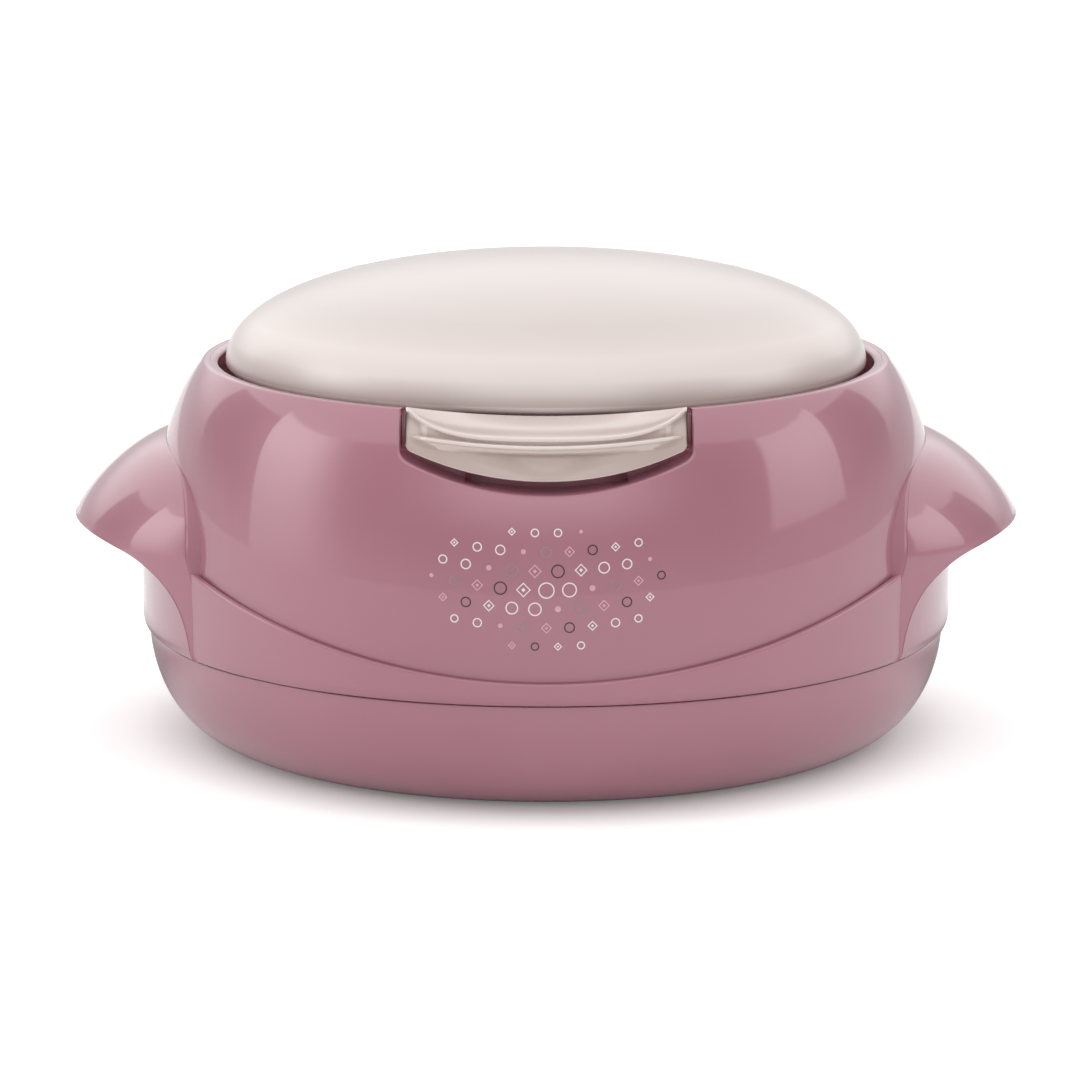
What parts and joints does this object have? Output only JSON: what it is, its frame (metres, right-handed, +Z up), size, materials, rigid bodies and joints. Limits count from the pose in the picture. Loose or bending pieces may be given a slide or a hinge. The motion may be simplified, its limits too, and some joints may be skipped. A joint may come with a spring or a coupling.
{
  "type": "insulated casserole",
  "caption": "Round insulated casserole for flatbreads, with a hinged domed lid, a front snap latch, hooded side handles and a steel inner bowl.",
  "frame": {"origin": "centre of the base on the surface that the casserole stands on", "axes": "+Z up, -Y towards the front latch, +Y towards the rear hinge, handles at +X and -X"},
  "size_m": [0.2964, 0.2544, 0.1494],
  "materials": {
    "pink_plastic": "glossy pearlescent moulded polypropylene, dusty pink",
    "cream_plastic": "glossy moulded polypropylene, warm cream",
    "pale_plastic": "satin moulded polypropylene",
    "bowl_steel": "spun stainless steel, satin",
    "bright_steel": "bright zinc-plated steel",
    "insulation_foam": "rigid closed-cell foam",
    "silicone": "translucent white silicone"
  },
  "bodies": {
    "body": {"base_shell": "pink_plastic", "base_cover": "pink_plastic", "base_fill_plug": "pale_plastic", "handle_band": "pink_plastic", "shoulder_shell": "pink_plastic", "rim_ring": "pink_plastic", "inner_bowl": "bowl_steel", "body_foam": "insulation_foam", "hinge_pin": "bright_steel"},
    "lid": {"lid_shell": "cream_plastic", "lid_foam": "insulation_foam", "lid_liner": "pale_plastic", "lid_fill_plug": "pale_plastic", "lid_seal": "silicone", "hinge_bridge": "cream_plastic", "hinge_screws": "bright_steel", "latch_pin": "bright_steel"},
    "latch": {"front_latch": "cream_plastic"}
  },
  "joints": [
    {"name": "lid_hinge", "type": "hinge", "parent": "body", "child": "lid", "pos_m": [0, 0.118, 0.122], "axis": [-1, 0, 0], "range_deg": [0, 100]},
    {"name": "latch_pivot", "type": "hinge", "parent": "lid", "child": "latch", "pos_m": [0, -0.1036, 0.1108], "axis": [-1, 0, 0], "range_deg": [0, 45]}
  ]
}
